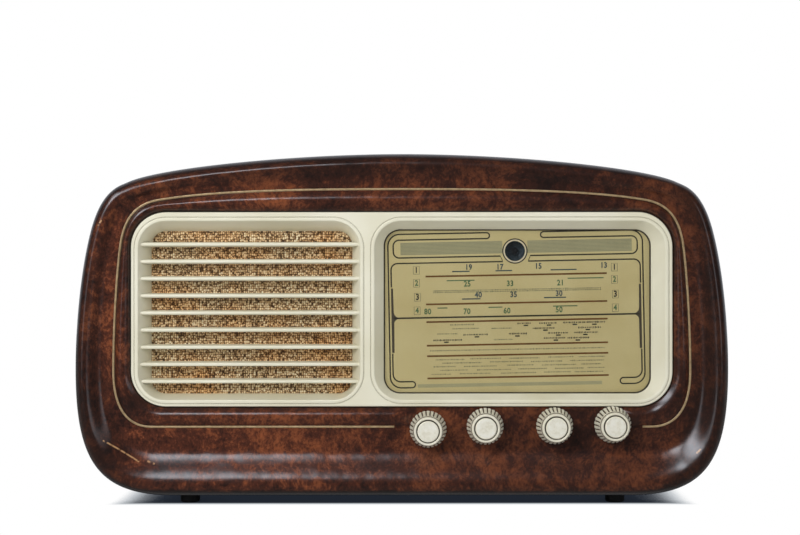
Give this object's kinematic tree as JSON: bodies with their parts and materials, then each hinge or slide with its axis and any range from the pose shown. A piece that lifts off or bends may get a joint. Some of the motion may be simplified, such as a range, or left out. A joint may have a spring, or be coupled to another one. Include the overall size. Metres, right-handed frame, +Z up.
{
  "type": "radio receiver",
  "caption": "Table radio receiver: veneered cabinet with a moulded front, louvred speaker window, lit glass dial with tuning eye, fluted knobs, chassis and cord drive inside.",
  "frame": {"origin": "middle of the bounding box at the level of the feet", "axes": "+X to the right seen from the front, +Y to the back, +Z up"},
  "size_m": [0.6, 0.2554, 0.324],
  "materials": {
    "walnut_burl": "high gloss lacquer",
    "walnut_body": "high gloss lacquer",
    "gilt_line": "satin",
    "birch_ply": "raw",
    "hardboard": "matt",
    "cream_plastic": "gloss",
    "knob_cream": "gloss",
    "grille_weave": "woven",
    "printed_glass": "printed on the back",
    "bulb_glass": "clear",
    "eye_glass": "clear, dark inside",
    "zinc_steel": "zinc plated",
    "plate_paint": "matt",
    "black_paint": "satin",
    "can_alloy": "satin",
    "brass": "satin",
    "drum_alloy": "satin",
    "needle_red": "satin",
    "resin_board": "matt",
    "black_plastic": "matt",
    "white_plastic": "gloss",
    "foot_rubber": "matt",
    "cord": "braided",
    "core_steel": "lacquered",
    "cone_paper": "pressed",
    "magnet": "painted"
  },
  "bodies": {
    "cabinet": {"front_frame": "walnut_burl", "inlay_line": "gilt_line", "cabinet_shell": "walnut_body", "back_panel": "hardboard", "wood_screws": "brass", "feet": "foot_rubber", "foot_screws": "zinc_steel", "bezel": "cream_plastic", "baffle_board": "birch_ply", "grille_cloth": "grille_weave", "dial_glass": "printed_glass", "dial_clips": "zinc_steel", "dial_backplate": "plate_paint", "pointer_rail": "zinc_steel", "drive_cord": "cord", "magic_eye": "eye_glass", "eye_bracket": "zinc_steel", "lamp_holders": "zinc_steel", "dial_lamps": "bulb_glass", "chassis": "zinc_steel", "chassis_rails": "birch_ply", "chassis_bolts": "zinc_steel", "machine_screws": "zinc_steel", "power_transformer": "core_steel", "output_transformer": "core_steel", "if_cans": "can_alloy", "electrolytic_can": "can_alloy", "valve_sockets": "resin_board", "signal_valves": "bulb_glass", "output_valve": "bulb_glass", "rectifier_valve": "bulb_glass", "gang_bracket": "zinc_steel", "gang_frame": "can_alloy", "tone_pot": "zinc_steel", "volume_pot": "zinc_steel", "tuning_bush": "brass", "band_switch": "resin_board", "control_nuts": "brass", "speaker_basket": "black_paint", "speaker_magnet": "magnet", "speaker_bolts": "zinc_steel", "socket_plates": "resin_board", "socket_bushes": "brass", "cord_grommet": "foot_rubber", "voltage_selector": "resin_board"},
    "tone": {"tone_knob": "knob_cream", "tone_shaft": "zinc_steel"},
    "volume": {"volume_knob": "knob_cream", "volume_shaft": "zinc_steel"},
    "tuning": {"tuning_knob": "knob_cream", "tuning_shaft": "zinc_steel"},
    "band": {"band_knob": "knob_cream", "band_shaft": "zinc_steel"},
    "gang": {"drive_drum": "drum_alloy", "gang_rotor": "can_alloy"},
    "needle": {"pointer": "needle_red"},
    "pulley_l": {"pulley_left": "brass"},
    "pulley_r": {"pulley_right": "brass"},
    "cone": {"speaker_cone": "cone_paper"},
    "voltage": {"voltage_dial": "black_plastic"}
  },
  "joints": [
    {"name": "tuning_turn", "type": "hinge", "parent": "cabinet", "child": "tuning", "pos_m": [0.1392, 0, 0.0752], "axis": [0, 1, 0], "range_deg": [-990, 810]},
    {"name": "gang_turn", "type": "hinge", "parent": "cabinet", "child": "gang", "pos_m": [0.094, 0, 0.163], "axis": [0, 1, 0], "range_deg": [-81, 99]},
    {"name": "pointer_slide", "type": "slide", "parent": "cabinet", "child": "needle", "axis": [1, 0, 0], "range_m": [-0.0908, 0.0743]},
    {"name": "pulley_left_turn", "type": "hinge", "parent": "cabinet", "child": "pulley_l", "pos_m": [0.0029, 0, 0.1084], "axis": [0, 1, 0], "range_deg": [-708.75, 866.25]},
    {"name": "pulley_right_turn", "type": "hinge", "parent": "cabinet", "child": "pulley_r", "pos_m": [0.20823, 0, 0.1084], "axis": [0, 1, 0], "range_deg": [-708.75, 866.25]},
    {"name": "cone_travel", "type": "slide", "parent": "cabinet", "child": "cone", "axis": [0, 1, 0], "range_m": [-0.002, 0.002], "stiffness_N_per_m": 1000},
    {"name": "tone_turn", "type": "hinge", "parent": "cabinet", "child": "tone", "pos_m": [0.024, 0, 0.0722], "axis": [0, 1, 0], "range_deg": [-135, 135]},
    {"name": "volume_turn", "type": "hinge", "parent": "cabinet", "child": "volume", "pos_m": [0.0759, 0, 0.0748], "axis": [0, 1, 0], "range_deg": [-150, 150]},
    {"name": "band_turn", "type": "hinge", "parent": "cabinet", "child": "band", "pos_m": [0.1921, 0, 0.0762], "axis": [0, 1, 0], "range_deg": [-60, 90]},
    {"name": "voltage_turn", "type": "hinge", "parent": "cabinet", "child": "voltage", "pos_m": [0.02, 0, 0.06], "axis": [0, 1, 0], "range_deg": [-60, 120]}
  ],
  "couplings": [
    {"joint": "gang_turn", "follows": "tuning_turn", "ratio": -0.1},
    {"joint": "pointer_slide", "follows": "tuning_turn", "m_per_rad": 0.00525},
    {"joint": "pulley_left_turn", "follows": "tuning_turn", "ratio": -0.875},
    {"joint": "pulley_right_turn", "follows": "tuning_turn", "ratio": -0.875}
  ]
}
